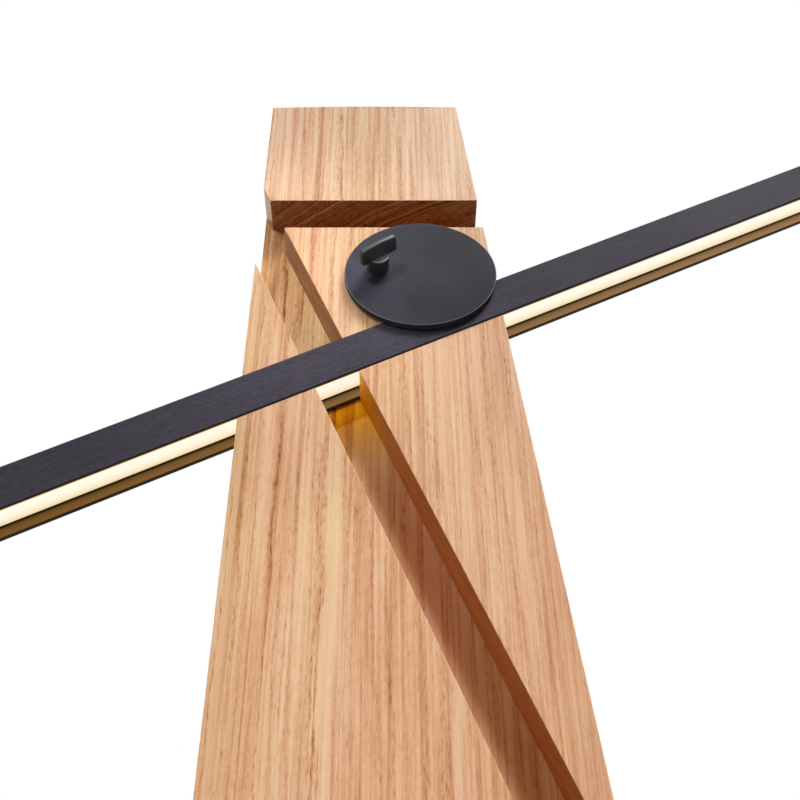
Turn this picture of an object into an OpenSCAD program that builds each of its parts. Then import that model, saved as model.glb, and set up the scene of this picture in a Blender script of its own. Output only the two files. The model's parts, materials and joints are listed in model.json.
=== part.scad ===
// Wooden floor lamp: a tapered post with three slots and an eccentric disc that clamps a light bar.
// Millimetres, +Z up. The origin is on the floor under the middle of the foot, and the front looks to -Y.

/* [Post] */
// Height of the post above its floor plate
post_h = 1590; // [1400:5:1800]
// Width of the post at its foot
foot_w = 282; // [250:1:330]
// Width of the post at its top
top_w = 140; // [125:1:165]
// Thickness of the post from front to back
post_t = 70; // [55:1:100]
// Rise of the crowned top above its two corners
top_crown = 1.6; // [0.8:0.1:4]

/* [Slots] */
// Distance of the clamp screw below the top of the post
clamp_drop = 193.9; // [185:0.1:225]
// Distance of the clamp screw from the upright left side of the post
clamp_inset = 81.5; // [76:0.1:92]
// Distance from the clamp screw to the near wall of the level slot above it
level_offset = 48.9; // [46:0.1:52]
// Distance from the clamp screw to the near wall of the slot that holds the light bar
bar_offset = 41.4; // [39:0.1:44]
// Distance from the clamp screw to the near wall of the steep slot
steep_offset = 42.1; // [39:0.1:45]
// Rise of the slot that holds the light bar, in degrees from level
bar_rise = 28.3; // [22:0.1:34]
// Lean of the steep slot, in degrees from upright
steep_lean = 21.5; // [17:0.1:26]
// Gap between the light bar and each wall of its slot
slot_clearance = 0.15; // [0.1:0.05:0.5]
// Gap between the back of the light bar and the floor of its slot
seat_gap = 0.1; // [0.05:0.05:0.3]
// Height by which the light bar stands proud of the wood
bar_proud = 1; // [0.5:0.1:2]

/* [Light bar] */
// Length of the channel
bar_l = 1200; // [1000:10:1400]
// Height of the channel as seen from the front
bar_h = 28.8; // [27:0.1:33]
// Depth of the channel from front to back
bar_d = 27.2; // [25:0.1:31]
// Thickness of the front and rear walls
bar_wall = 2.2; // [1.9:0.1:2.6]
// Thickness of the web that closes the channel on top
bar_web = 2.4; // [2:0.1:3]
// Bevel along the outer edges of the channel
bar_bevel = 0.5; // [0.3:0.1:0.8]
// Distance of the bar's middle from the point opposite the clamp screw
bar_shift = -30; // [-120:5:120]
// Depth of the lens inside the mouth of the channel
lens_recess = 9; // [6:0.5:10]
// Thickness of the lens
lens_t = 2; // [1.5:0.1:2.5]
// Depth of the groove in each wall that the lens slides in
lens_groove = 0.8; // [0.5:0.1:1]
// Gap around the lens in its grooves
lens_gap = 0.1; // [0.05:0.05:0.2]
// Thickness of the end caps
cap_t = 5; // [4:0.1:8]
// Length of the tongue by which an end cap enters the channel
cap_tongue = 5; // [3:0.5:10]
// Radius of the end cap screws
cap_screw_r = 1.25; // [1.2:0.05:1.3]
// Length of the end cap screws
cap_screw_l = 16; // [10:1:25]

/* [Light source] */
// Width of the light strip's board
board_w = 11; // [8:0.5:11]
// Thickness of the boards
board_t = 1.2; // [0.8:0.1:1.6]
// Spacing of the light chips along the board
chip_pitch = 16.5; // [12:0.5:25]
// Length of the dimmer's board
dimmer_l = 86; // [80:1:110]

/* [Switch and cord entry] */
// Distance of the push button from the left end of the channel
switch_inset = 60; // [50:1:65]
// Radius of the push button
button_r = 2.9; // [2.4:0.1:3]
// Travel of the push button
button_travel = 1.2; // [0.8:0.1:2]
// Height of the push button above its ring nut
button_proud = 1.8; // [1.4:0.1:3]
// Wall of the switch's threaded bush
bush_wall = 1; // [0.7:0.1:1.2]
// Radius of the passage for the cord
cord_r = 2.3; // [1.8:0.1:2.6]
// Wall of the cord gland's threaded bush
gland_wall = 1.4; // [1.1:0.1:1.6]

/* [Clamp] */
// Radius of the eccentric disc
disc_r = 49.3; // [46:0.1:54]
// Thickness of the disc
disc_t = 4; // [3:0.1:6]
// Distance of the disc's middle from the clamp screw
disc_offset = 27.6; // [25:0.1:31]
// Direction of the disc's middle from the clamp screw, in degrees from level
disc_aim = -7.1; // [-60:0.1:60]
// Thickness of the soft liner behind the disc
liner_t = 0.6; // [0.4:0.1:2]
// Diameter of the clamp screw's stud
stud_d = 6; // [5:0.5:7]
// Length of the stud inside the threaded insert
stud_reach = 18; // [14:1:22]
// Diameter of the knob's hub at its foot
hub_d = 14.2; // [12:0.1:16]
// Height of the knob's hub
hub_h = 10; // [7:0.1:12]
// Length of the knob's wing
wing_l = 26; // [22:0.5:34]
// Thickness of the wing where it stands on the hub
wing_t = 5.2; // [4:0.1:6]
// Thickness of the wing at its outer edge
wing_edge_t = 3.2; // [2.4:0.1:3.8]
// Height of the wing along the screw
wing_h = 11.4; // [8:0.1:13]
// Rise of the wing's crowned outer edge above its two ends
wing_crown = 1; // [0.5:0.1:1.6]
// Turn of the wing, in degrees from level
wing_turn = 33.5; // [-90:0.1:90]

/* [Foot] */
// Width of the floor plate
plate_w = 330; // [310:5:420]
// Depth of the floor plate
plate_d = 240; // [180:5:320]
// Thickness of the floor plate
plate_t = 8; // [6:0.5:12]
// Corner radius of the floor plate
plate_corner = 14; // [6:1:30]
// Thickness of the felt sheet under the plate
pad_t = 2; // [1.5:0.5:5]
// Radius of the wood screws that hold the post on the plate
foot_screw_r = 3; // [2.5:0.1:3.5]
// Length of the wood screws
foot_screw_l = 60; // [40:5:90]

/* [Hidden] */
$fn = 64;
over = 1;

wood = "burlywood";
black = "#2a2a2e";
steel = "#8f9297";
brass = "#b8975a";
board_green = "#dfe3df";

fit_gap = 0.05;
slide_gap = 0.1;
loose_gap = 0.3;

post_z = pad_t + plate_t;
face_y = -post_t / 2;
left_x = -foot_w / 2;
clamp_x = left_x + clamp_inset;
clamp_z = post_z + post_h - clamp_drop;

slot_w = bar_h + 2 * slot_clearance;
slot_depth = bar_d - bar_proud + seat_gap;
slot_run = 2 * post_h;
// Directions of the level, leaning and steep slots around the clamp screw, and their distances from it
slots = [[0, level_offset], [180 + bar_rise, bar_offset], [90 + steep_lean, steep_offset]];

// The clamp's stack, as heights above the wood in front of the clamp screw
liner_z = bar_proud + slide_gap;
disc_z = liner_z + liner_t;
washer_t = 0.8;
washer_z = disc_z + disc_t + fit_gap;
knob_z = washer_z + washer_t + fit_gap;
disc_middle = [disc_offset * cos(disc_aim), disc_offset * sin(disc_aim), 0];
disc_bevel = 0.4;
liner_inset = 2.5;
washer_rim = 4;
stud_r = stud_d / 2;
stud_in_hub = 0.8 * hub_h;
stud_bevel = 0.8;
washer_inset = 1;
wing_corner = 2.2;
wing_sink = 0.4;
hub_taper = 0.5;
insert_l = stud_reach + 4;
insert_wall = 2.2;
insert_rib = 0.9;
insert_ribs = 5;
insert_r = stud_r + insert_wall + insert_rib;

// The inside of the channel
inner_d = bar_d - 2 * bar_wall;
web_z = bar_h - bar_web;
port_inset = 1.2;
port_wall = 1.2;
port_r = cap_screw_r + fit_gap;
port_places = [[bar_wall + port_inset, web_z - port_inset], [bar_d - bar_wall - port_inset, web_z - port_inset]];
lens_top = lens_recess + lens_t;
core_z = (lens_top + lens_gap + web_z - port_inset - port_r - port_wall) / 2;
cap_head_r = 1.9 * cap_screw_r;
left_end = -bar_l / 2;
right_end = bar_l / 2;

board_y = (bar_d - board_w) / 2;
dimmer_start = 14;
strip_start = left_end + dimmer_start + dimmer_l + 1;
strip_l = right_end - 6 - strip_start;
chip_size = [2.8, 3.5, 0.7];
chip_margin = 8;
chip_count = floor((strip_l - 2 * chip_margin) / chip_pitch) + 1;
chip_first = strip_start + (strip_l - (chip_count - 1) * chip_pitch) / 2;
terminal_start = 20;
terminal_size = [9, 8];
lead_r = 0.7;
lead_spread = 1;

nut_t = 1.6;
nut_rim = 1.5;
bush_r = button_r + slide_gap + bush_wall;
switch_r = bush_r + 0.6;
switch_depth = 11;
button_in = 5;
gland_r = cord_r + gland_wall;
gland_flange = 0.9;
gland_seat = 2;
gland_nut_t = 3;
gland_out = cap_t + gland_nut_t + 2;

foot_head_r = 2 * foot_screw_r;
foot_screw_inset = [45, 17];
foot_screw_reach = [foot_w, post_t] / 2 - foot_screw_inset;
foot_screw_places = [for (sx = [-1, 1], sy = [-1, 1]) [sx * foot_screw_reach.x, sy * foot_screw_reach.y]];
socket_share = 0.55;
pad_inset = 3;

// Places children at the clamp screw, on the wood's face, with +Y into the wood
module at_clamp() {
    translate([clamp_x, face_y, clamp_z]) children();
}

// Places children in the clamp's stack: x to the right, y up the post, z out of the wood
module in_stack(height = 0) {
    at_clamp() rotate([90, 0, 0]) translate([0, 0, height]) children();
}

// Places children in the light bar: x along it, y to the back, z up from the mouth of the channel
module in_bar() {
    at_clamp()
    rotate([0, -bar_rise, 0])
    translate([bar_shift, -bar_proud, -bar_offset - slot_clearance - bar_h])
    children();
}

// Turns a flat outline in depth and height into a run along the light bar
module along_bar(from, length) {
    translate([from, 0, 0]) rotate([90, 0, 90]) linear_extrude(length) children();
}

// A flat washer or ring nut
module ring(outer, inner, height) {
    difference() {
        cylinder(r = outer, h = height);
        translate([0, 0, -over]) cylinder(r = inner, h = height + 2 * over);
    }
}

// A countersunk screw that points along +Z with the flat of its head at the origin
module countersunk_screw(shank, head, length) {
    sink = head - shank;
    difference() {
        union() {
            cylinder(r1 = head, r2 = shank, h = sink);
            translate([0, 0, sink - over / 10]) cylinder(r = shank, h = length - 2 * sink + over / 10);
            translate([0, 0, length - sink]) cylinder(r1 = shank, r2 = shank / 4, h = sink);
        }
        translate([0, 0, -over]) cylinder(r = socket_share * head, h = over + 0.6 * sink, $fn = 6);
    }
}

// The seat of such a screw in a plate
module countersunk_hole(shank, head, depth) {
    sink = head - shank;
    translate([0, 0, -over]) cylinder(r = shank + slide_gap, h = depth + 2 * over);
    cylinder(r1 = head + slide_gap, r2 = shank + slide_gap, h = sink);
    translate([0, 0, -over]) cylinder(r = head + slide_gap, h = over);
}

module rounded_rectangle(width, height, corner) {
    square([width - 2 * corner, height], center = true);
    square([width, height - 2 * corner], center = true);
    for (sx = [-1, 1], sy = [-1, 1])
        translate([sx * (width / 2 - corner), sy * (height / 2 - corner)]) circle(corner);
}

// Front view of the post: upright on the left, leaning in on the right, crowned on top
module post_outline() {
    crown_r = (pow(top_w / 2, 2) + pow(top_crown, 2)) / (2 * top_crown);
    intersection() {
        polygon([[left_x, 0], [-left_x, 0], [left_x + top_w, post_h], [left_x, post_h]]);
        union() {
            translate([left_x, 0]) square([foot_w, post_h - top_crown]);
            translate([left_x + top_w / 2, post_h - crown_r]) circle(crown_r, $fn = 180);
        }
    }
}

// One slot as wide and deep as the light bar needs, straight across the face of the post
module slot_cut(aim, offset) {
    at_clamp()
    rotate([0, -aim, 0])
    translate([-slot_run / 2, -over, offset])
    cube([slot_run, slot_depth + over, slot_w]);
}

module post() {
    color(wood)
    difference() {
        translate([0, 0, post_z]) rotate([90, 0, 0]) linear_extrude(post_t, center = true) post_outline();
        for (slot = slots)
            slot_cut(slot[0], slot[1]);
        in_stack(-insert_l) cylinder(r = insert_r + fit_gap, h = insert_l + over);
        for (place = foot_screw_places)
            translate([place.x, place.y, post_z - over])
                cylinder(r = foot_screw_r + fit_gap, h = foot_screw_l + over);
    }
}

module floor_plate() {
    color(black)
    difference() {
        translate([0, 0, pad_t]) linear_extrude(plate_t) rounded_rectangle(plate_w, plate_d, plate_corner);
        for (place = foot_screw_places)
            translate([place.x, place.y, pad_t]) countersunk_hole(foot_screw_r, foot_head_r, plate_t);
    }
}

module plate_screws() {
    color(steel)
    for (place = foot_screw_places)
        translate([place.x, place.y, pad_t]) countersunk_screw(foot_screw_r, foot_head_r, foot_screw_l);
}

module floor_pad() {
    color("dimgray")
    linear_extrude(pad_t)
    rounded_rectangle(plate_w - 2 * pad_inset, plate_d - 2 * pad_inset, plate_corner - pad_inset);
}

// Threaded insert, flush with the wood, with ribs that grip it
module threaded_insert() {
    pitch = insert_l / insert_ribs;
    color(brass)
    in_stack(-insert_l)
    difference() {
        union() {
            cylinder(r = insert_r - insert_rib, h = insert_l);
            for (i = [0:insert_ribs - 1])
                translate([0, 0, (i + 0.5) * pitch]) cylinder(r = insert_r, h = pitch / 2);
        }
        translate([0, 0, -over]) cylinder(r = stud_r + fit_gap, h = insert_l + 2 * over);
    }
}

// Thin washer that gives the disc a seat level with the face of the light bar
module pivot_washer() {
    color(brass)
    in_stack() ring(insert_r + washer_rim / 2, stud_r + loose_gap, bar_proud);
}

module clamp_disc() {
    color(black)
    in_stack(disc_z)
    difference() {
        translate(disc_middle)
        rotate_extrude($fn = 128)
        polygon([[0, 0], [disc_r - disc_bevel, 0], [disc_r, disc_bevel], [disc_r, disc_t - disc_bevel],
            [disc_r - disc_bevel, disc_t], [0, disc_t]]);
        translate([0, 0, -over]) cylinder(r = stud_r + slide_gap, h = disc_t + 2 * over);
    }
}

module disc_liner() {
    color("#3a3836")
    in_stack(liner_z)
    difference() {
        translate(disc_middle) cylinder(r = disc_r - liner_inset, h = liner_t, $fn = 128);
        translate([0, 0, -over]) cylinder(r = stud_r + loose_gap, h = liner_t + 2 * over);
    }
}

module knob_washer() {
    color(steel)
    in_stack(washer_z) ring(hub_d / 2 - washer_inset, stud_r + fit_gap, washer_t);
}

// Wing of the knob, on its foot: rounded at its ends, crowned outside and thinner towards its edge
module knob_wing() {
    crown_r = (pow(wing_l / 2, 2) + pow(wing_crown, 2)) / (2 * wing_crown);
    intersection() {
        rotate([90, 0, 0])
        linear_extrude(wing_t + 2 * over, center = true)
        intersection() {
            translate([0, wing_h / 2]) rounded_rectangle(wing_l, wing_h, wing_corner);
            translate([0, wing_h - crown_r]) circle(crown_r, $fn = 180);
        }
        rotate([90, 0, 90])
        linear_extrude(wing_l + 2 * over, center = true)
        polygon([[-wing_t / 2, 0], [wing_t / 2, 0], [wing_edge_t / 2, wing_h], [-wing_edge_t / 2, wing_h]]);
    }
}

// Hub with a flat shoulder, and a wing across it that the fingers turn
module clamp_knob() {
    color(black)
    in_stack(knob_z)
    difference() {
        union() {
            cylinder(r1 = hub_d / 2, r2 = hub_d / 2 - hub_taper, h = hub_h);
            rotate([0, 0, wing_turn]) translate([0, 0, hub_h - wing_sink]) knob_wing();
        }
        translate([0, 0, -over]) cylinder(r = stud_r, h = stud_in_hub + over);
    }
}

module clamp_stud() {
    color(steel)
    in_stack(-stud_reach)
    union() {
        cylinder(r1 = stud_r - stud_bevel, r2 = stud_r, h = stud_bevel);
        translate([0, 0, stud_bevel]) cylinder(r = stud_r, h = stud_reach + knob_z + stud_in_hub - stud_bevel);
    }
}

// Outer section of the light bar, bevelled along its edges
module bar_section() {
    b = bar_bevel;
    polygon([[b, 0], [bar_d - b, 0], [bar_d, b], [bar_d, bar_h - b], [bar_d - b, bar_h], [b, bar_h],
        [0, bar_h - b], [0, b]]);
}

// Section of the channel: open below, with lens grooves and two screw ports under the web
module channel_section() {
    groove_d = inner_d + 2 * lens_groove;
    difference() {
        union() {
            difference() {
                bar_section();
                translate([bar_wall, -over]) square([inner_d, web_z + over]);
                translate([bar_wall - lens_groove, lens_recess - lens_gap]) square([groove_d, lens_t + 2 * lens_gap]);
            }
            for (place = port_places)
                translate(place) circle(port_r + port_wall);
        }
        for (place = port_places)
            translate(place) circle(port_r);
    }
}

module bar_channel() {
    color(black)
    in_bar()
    difference() {
        along_bar(left_end, bar_l) channel_section();
        translate([left_end + switch_inset, -over, core_z])
            rotate([-90, 0, 0]) cylinder(r = bush_r + slide_gap, h = bar_wall + 2 * over);
    }
}

module lens() {
    width = inner_d + 2 * lens_groove - 2 * lens_gap;
    color("ivory")
    in_bar()
    translate([left_end + lens_gap, (bar_d - width) / 2, lens_recess])
    cube([bar_l - 2 * lens_gap, width, lens_t]);
}

module led_board() {
    color(board_green)
    in_bar()
    translate([strip_start, board_y, web_z - board_t])
    cube([strip_l, board_w, board_t]);
}

module led_chips() {
    color("gold")
    in_bar()
    for (i = [0:chip_count - 1])
        translate([chip_first + i * chip_pitch - chip_size.x / 2, (bar_d - chip_size.y) / 2,
            web_z - board_t - chip_size.z])
            cube(chip_size);
}

// Dimmer board under the web, with its terminal block, driver chip and choke
module dimmer_board() {
    underside = web_z - board_t;
    terminal_low = core_z - lead_spread - 2 * lead_r;
    color("darkgreen")
    in_bar()
    translate([left_end + dimmer_start, 0, 0])
    union() {
        translate([0, board_y, underside]) cube([dimmer_l, board_w, board_t]);
        translate([terminal_start - dimmer_start, (bar_d - terminal_size.y) / 2, terminal_low])
            cube([terminal_size.x, terminal_size.y, underside - terminal_low + board_t / 2]);
        translate([dimmer_l / 2 - 10, bar_d / 2 - 3, underside - 1]) cube([6, 6, 1 + board_t / 2]);
        translate([dimmer_l - 14, bar_d / 2, underside - 3]) cylinder(r = 4, h = 3 + board_t / 2);
    }
}

// Two leads from the cord gland to the terminal block
module inner_leads() {
    color("firebrick")
    in_bar()
    for (side = [-1, 1])
        translate([left_end, bar_d / 2 + side * lead_spread, core_z])
            rotate([0, 90, 0]) cylinder(r = lead_r, h = terminal_start);
}

// Places children at the cord's entry, with +Z into the light bar from the end of its channel
module at_gland() {
    in_bar() translate([left_end, bar_d / 2, core_z]) rotate([0, 90, 0]) children();
}

// Plate of an end cap with countersunk screw seats, and a tongue below the lens
module end_cap(side) {
    gap = slide_gap;
    outer_x = side < 0 ? left_end - cap_t : right_end;
    tongue_x = side < 0 ? left_end : right_end - cap_tongue;
    face_x = side < 0 ? left_end - cap_t : right_end + cap_t;
    difference() {
        union() {
            along_bar(outer_x, cap_t) bar_section();
            translate([tongue_x, bar_wall + gap, bar_bevel])
                cube([cap_tongue, inner_d - 2 * gap, lens_recess - lens_gap - bar_bevel]);
        }
        for (place = port_places)
            translate([face_x, place.x, place.y])
                rotate([0, -side * 90, 0]) countersunk_hole(cap_screw_r, cap_head_r, cap_t);
    }
}

module end_cap_left() {
    color(black)
    difference() {
        in_bar() end_cap(-1);
        at_gland() {
            translate([0, 0, -cap_t - over]) cylinder(r = gland_r + slide_gap, h = cap_t + 2 * over);
            translate([0, 0, -gland_seat]) cylinder(r = gland_r + gland_flange + slide_gap, h = gland_seat + over);
        }
    }
}

module end_cap_right() {
    color(black)
    in_bar() end_cap(1);
}

module cap_screws() {
    color(steel)
    in_bar()
    for (side = [-1, 1], place = port_places)
        translate([side * (right_end + cap_t), place.x, place.y])
            rotate([0, -side * 90, 0]) countersunk_screw(cap_screw_r, cap_head_r, cap_screw_l);
}

// Gland that the cord enters by: a flange sunk in the inside of the cap and a threaded bush outside it
module cord_gland() {
    color(black)
    at_gland()
    difference() {
        union() {
            translate([0, 0, -gland_out]) cylinder(r = gland_r, h = gland_out);
            translate([0, 0, -gland_seat]) cylinder(r = gland_r + gland_flange, h = gland_seat);
        }
        translate([0, 0, -gland_out - over]) cylinder(r = cord_r, h = gland_out + 2 * over);
    }
}

module gland_nut() {
    hex_r = (gland_r + nut_rim) / cos(30);
    color(black)
    at_gland()
    translate([0, 0, -cap_t - gland_nut_t])
    difference() {
        cylinder(r = hex_r, h = gland_nut_t, $fn = 6);
        translate([0, 0, -over]) cylinder(r = gland_r + fit_gap, h = gland_nut_t + 2 * over);
    }
}

// Places children at the push button, with +Z into the light bar
module at_switch() {
    in_bar() translate([left_end + switch_inset, 0, core_z]) rotate([-90, 0, 0]) children();
}

// Body of the push switch behind the wall, its threaded bush through it, and its two legs to the board
module switch_body() {
    leg_l = web_z - board_t - core_z;
    bore_end = button_in + button_travel + loose_gap;
    color(black)
    at_switch()
    difference() {
        union() {
            translate([0, 0, -nut_t]) cylinder(r = bush_r, h = nut_t + bar_wall);
            translate([0, 0, bar_wall]) cylinder(r = switch_r, h = switch_depth);
            for (side = [-1, 1])
                translate([2 * side - 0.5, -leg_l, bar_wall + switch_depth - 2]) cube([1, leg_l, 0.6]);
        }
        translate([0, 0, -nut_t - over]) cylinder(r = button_r + slide_gap, h = nut_t + over + bore_end);
    }
}

module switch_nut() {
    color(black)
    at_switch() translate([0, 0, -nut_t]) ring(bush_r + nut_rim, bush_r + fit_gap, nut_t);
}

module switch_button() {
    bevel = 0.4;
    stem = nut_t + button_proud + button_in - bevel;
    color("#44454a")
    at_switch()
    translate([0, 0, -nut_t - button_proud])
    union() {
        cylinder(r1 = button_r - bevel, r2 = button_r, h = bevel);
        translate([0, 0, bevel]) cylinder(r = button_r, h = stem);
    }
}

post();
floor_plate();
plate_screws();
floor_pad();
threaded_insert();
pivot_washer();
clamp_disc();
disc_liner();
knob_washer();
clamp_knob();
clamp_stud();
bar_channel();
lens();
led_board();
led_chips();
dimmer_board();
inner_leads();
end_cap_left();
end_cap_right();
cap_screws();
cord_gland();
gland_nut();
switch_body();
switch_nut();
switch_button();
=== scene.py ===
import json
import math

import bmesh
import bpy
from mathutils import Matrix, Vector


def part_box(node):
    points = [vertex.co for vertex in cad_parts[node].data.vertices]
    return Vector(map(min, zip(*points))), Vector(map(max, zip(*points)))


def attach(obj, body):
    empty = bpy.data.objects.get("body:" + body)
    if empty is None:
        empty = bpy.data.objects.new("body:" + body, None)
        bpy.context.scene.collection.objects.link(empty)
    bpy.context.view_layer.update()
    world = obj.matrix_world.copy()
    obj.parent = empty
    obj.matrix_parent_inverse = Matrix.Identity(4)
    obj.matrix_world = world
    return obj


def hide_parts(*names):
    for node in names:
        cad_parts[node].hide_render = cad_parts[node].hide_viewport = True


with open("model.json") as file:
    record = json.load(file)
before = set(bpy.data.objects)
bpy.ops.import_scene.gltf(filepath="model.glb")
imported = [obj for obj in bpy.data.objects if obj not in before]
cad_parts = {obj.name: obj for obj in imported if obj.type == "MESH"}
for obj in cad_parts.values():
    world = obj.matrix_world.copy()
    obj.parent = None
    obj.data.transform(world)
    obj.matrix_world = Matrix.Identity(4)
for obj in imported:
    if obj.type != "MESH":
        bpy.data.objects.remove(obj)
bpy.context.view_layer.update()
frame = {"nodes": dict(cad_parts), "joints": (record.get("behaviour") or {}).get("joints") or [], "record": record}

MM = 0.001

# Outwards from the slotted front of the post
FRONT = Vector((0, -1, 0))

# The photograph's frame and the camera that sees the lamp as it does
PHOTO_SIDE = 800
FOCAL_PIXELS = 1145.76
SENSOR = 36.0
CAMERA_PLACE = Vector((-0.05262, -0.5357, 0.84195))
CAMERA_PITCH = math.radians(42.18)
CAMERA_YAW = math.radians(0.729)
CAMERA_ROLL = math.radians(-0.636)

# The light bar's own directions: along it, and up from the mouth of its channel
BAR_ALONG = Vector(next(j for j in frame["joints"] if j["name"] == "bar_slide")["axis"])
BAR_UP = Vector((-BAR_ALONG.z, 0, BAR_ALONG.x))
BAR_TURN = (0, math.atan2(BAR_ALONG.z, BAR_ALONG.x), 0)


def middle(node):
    low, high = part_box(node)
    return (low + high) / 2


def span(node):
    low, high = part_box(node)
    return high - low


# Shader maths


class Shade:
    """An output of a shader node. Arithmetic on it adds Math nodes."""

    def __init__(self, tree, socket=None):
        self.tree = tree
        self.socket = socket

    def node(self, kind, settings=None, inputs=None, output=0):
        """Adds a node, sets it up, feeds its sockets and gives one of its outputs."""
        made = self.tree.nodes.new("ShaderNode" + kind)
        for name, value in (settings or {}).items():
            if name == "stops":
                set_stops(made.color_ramp, value)
            else:
                setattr(made, name, value)
        for name, value in (inputs or {}).items():
            if isinstance(value, Shade):
                self.tree.links.new(value.socket, made.inputs[name])
            else:
                made.inputs[name].default_value = value
        return Shade(self.tree, made.outputs[output])

    def output(self, name):
        """Another output of the same node."""
        return Shade(self.tree, self.socket.node.outputs[name])

    def math(self, operation, *others):
        """A Math node on this value and the others."""
        return self.node("Math", {"operation": operation}, dict(enumerate((self,) + others)))

    def __add__(self, other):
        return self.math("ADD", other)

    def __radd__(self, other):
        return self.math("ADD", other)

    def __sub__(self, other):
        return self.math("SUBTRACT", other)

    def __rsub__(self, other):
        return self.math("MULTIPLY", -1.0).math("ADD", other)

    def __mul__(self, other):
        return self.math("MULTIPLY", other)

    def __rmul__(self, other):
        return self.math("MULTIPLY", other)

    def __truediv__(self, other):
        return self.math("DIVIDE", other)


def set_stops(ramp, stops):
    """Gives a colour ramp its stops: a place from 0 to 1, and a grey or a colour."""
    while len(ramp.elements) < len(stops):
        ramp.elements.new(1.0)
    for element, (place, tone) in zip(ramp.elements, stops):
        element.position = place
        element.color = rgba((tone,) * 3 if isinstance(tone, (int, float)) else tone)


def srgb(red, green, blue):
    """A linear colour from the 0 to 255 values that a screen shows."""
    shares = [value / 255 for value in (red, green, blue)]
    return tuple(s / 12.92 if s <= 0.04045 else ((s + 0.055) / 1.055) ** 2.4 for s in shares)


def rgba(colour):
    return (*colour, 1.0)


def clamped(value, low, high):
    """Maps low to 0 and high to 1, and stays between them."""
    return value.node("MapRange", {"clamp": True}, {"Value": value, "From Min": low, "From Max": high})


def ramp(value, stops):
    return value.node("ValToRGB", {"stops": stops}, {"Fac": value})


def mixed(factor, first, second, blend="MIX"):
    """A colour between two others, or their product."""
    ends = [end if isinstance(end, Shade) else rgba(end) for end in (first, second)]
    carrier = next(value for value in (factor, *ends) if isinstance(value, Shade))
    settings = {"data_type": "RGBA", "blend_type": blend}
    return carrier.node("Mix", settings, {0: factor, 6: ends[0], 7: ends[1]}, 2)


def tinted(colour, tint):
    """A colour multiplied by another."""
    return mixed(1.0, colour, tint, "MULTIPLY")


def object_place(shade, scale=1.0, turn=(0, 0, 0), shift=(0, 0, 0)):
    """The piece's own coordinates in metres, turned, then stretched and shifted."""
    place = shade.node("TexCoord", output="Object")
    if any(turn):
        place = shade.node("Mapping", inputs={"Vector": place, "Rotation": turn})
    sizes = (scale,) * 3 if isinstance(scale, (int, float)) else scale
    return shade.node("Mapping", inputs={"Vector": place, "Scale": sizes, "Location": shift})


def parts_of(vector):
    """The three parts of a vector."""
    return [vector.node("SeparateXYZ", inputs={"Vector": vector}, output=i) for i in range(3)]


def noise(place, detail=2.0, roughness=0.5):
    inputs = {"Vector": place, "Scale": 1.0, "Detail": detail, "Roughness": roughness}
    return place.node("TexNoise", inputs=inputs)


def bump(height, distance, strength=1.0):
    return height.node("Bump", inputs={"Height": height, "Distance": distance, "Strength": strength})


def finish(name, look, **constants):
    """A material whose constant sockets are given and whose varying ones come from a look."""
    material = bpy.data.materials.new(name)
    material.use_nodes = True
    tree = material.node_tree
    shader = tree.nodes["Principled BSDF"]
    for socket, value in constants.items():
        shader.inputs[socket.replace("_", " ")].default_value = value
    for socket, value in look(Shade(tree)).items():
        tree.links.new(value.socket, shader.inputs[socket])
    return material


# Finishes

PLAIN = (1.0, 1.0, 1.0)
BLACK = (0.0, 0.0, 0.0)

# The pith that the growth rings run round lies behind the post, to the right
PITH_X = 0.10
PITH_Y = 0.22
RING_SPACING = 5.2 * MM

# The wood's colours, from its palest grain to its darkest, and those of a cut across it
GRAIN = [(0.0, srgb(250, 214, 172)), (0.2, srgb(240, 199, 155)), (0.38, srgb(225, 173, 126)),
         (0.58, srgb(198, 137, 86)), (0.82, srgb(156, 96, 50)), (1.0, srgb(110, 61, 28))]
END_GRAIN_DARK = srgb(146, 76, 36)
END_GRAIN_PALE = srgb(255, 206, 142)

# A line near the steep slot, left of which the painted shade on the upper wood is deeper: its lean, its foot and
# its softness
TONE_LINE_LEAN = 0.31
TONE_LINE_FOOT = 0.32
TONE_LINE_SOFTNESS = 10 * MM

# How far the post's right side leans in for each metre of height
POST_TAPER = 0.0893

# Heights on the post between which its tints, and the light and shade painted on it, change
CLAMP_RISE = (1.2, 1.38)
BLOCK_RISE = (1.44, 1.5)
FLOOR_RISE = (1.3, 1.38)
WALL_RISE = (1.25, 1.35)
LEVEL_SLOT_RISE = (1.45, 1.46)
STRIP_START = (1.265, 1.3)
STRIP_END = (1.36, 1.33)

# Tints of the post: painted light and shade on its front, near the clamp, on its top block, on the floors and
# walls of its slots and beside the lit strip, and a darker tint along its sides
LEFT_PAINTED_LIGHT = (1.09, 1.1, 1.11)
RIGHT_PAINTED_SHADE = (0.96, 0.87, 0.87)
EDGE_TINT = (0.88, 0.79, 0.74)
UPPER_LEFT_PAINTED_SHADE = (0.62, 0.585, 0.55)
UPPER_RIGHT_PAINTED_SHADE = (0.79, 0.755, 0.725)
BLOCK_PAINTED_SHEEN = (0.9, 0.96, 1.09)
FLOOR_PAINTED_LIGHT = (1.15, 1.22, 1.22)
UPPER_FLOOR_PAINTED_LIGHT = (1.4, 1.6, 1.55)
WALL_PAINTED_SHADE = (0.95, 0.75, 0.5)
UPPER_WALL_PAINTED_SHADE = (0.82, 0.84, 0.85)
LEVEL_SLOT_PAINTED_LIGHT = (1.2, 1.45, 1.8)
STRIP_PAINTED_LIGHT = (0.87, 0.72, 0.15)


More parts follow.
